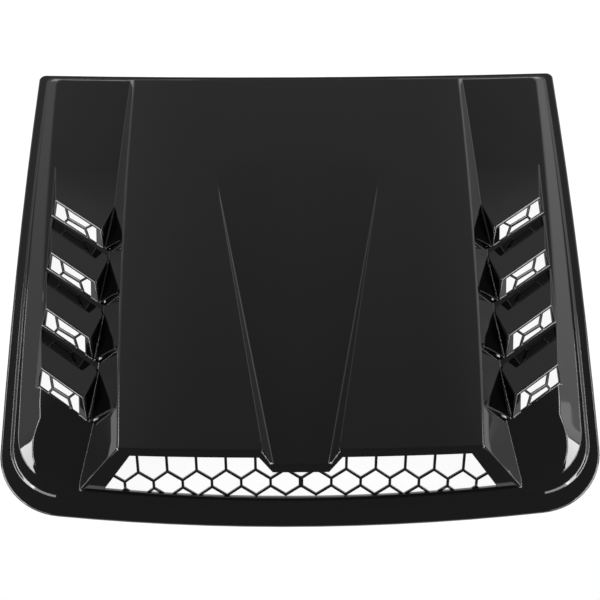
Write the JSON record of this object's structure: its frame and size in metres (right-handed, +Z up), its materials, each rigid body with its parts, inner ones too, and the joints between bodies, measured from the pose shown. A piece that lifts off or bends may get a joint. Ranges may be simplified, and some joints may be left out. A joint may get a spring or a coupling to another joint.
{
  "type": "car bonnet vent",
  "caption": "Moulded vent cover for a car bonnet: a raised centre panel over a honeycomb air intake, between two low wings with meshed louvres.",
  "frame": {"origin": "centre of the flange's flat underside, which lies on the bonnet", "axes": "+X to the right seen from the front of the car's bonnet with the windscreen behind, +Y towards the windscreen, +Z up, away from the bonnet"},
  "size_m": [0.788, 0.7336, 0.0756],
  "materials": {
    "gloss_black_abs": "injection-moulded ABS with a polished, piano-black surface"
  },
  "bodies": {
    "root": {"vent_cover": "gloss_black_abs"}
  },
  "joints": []
}
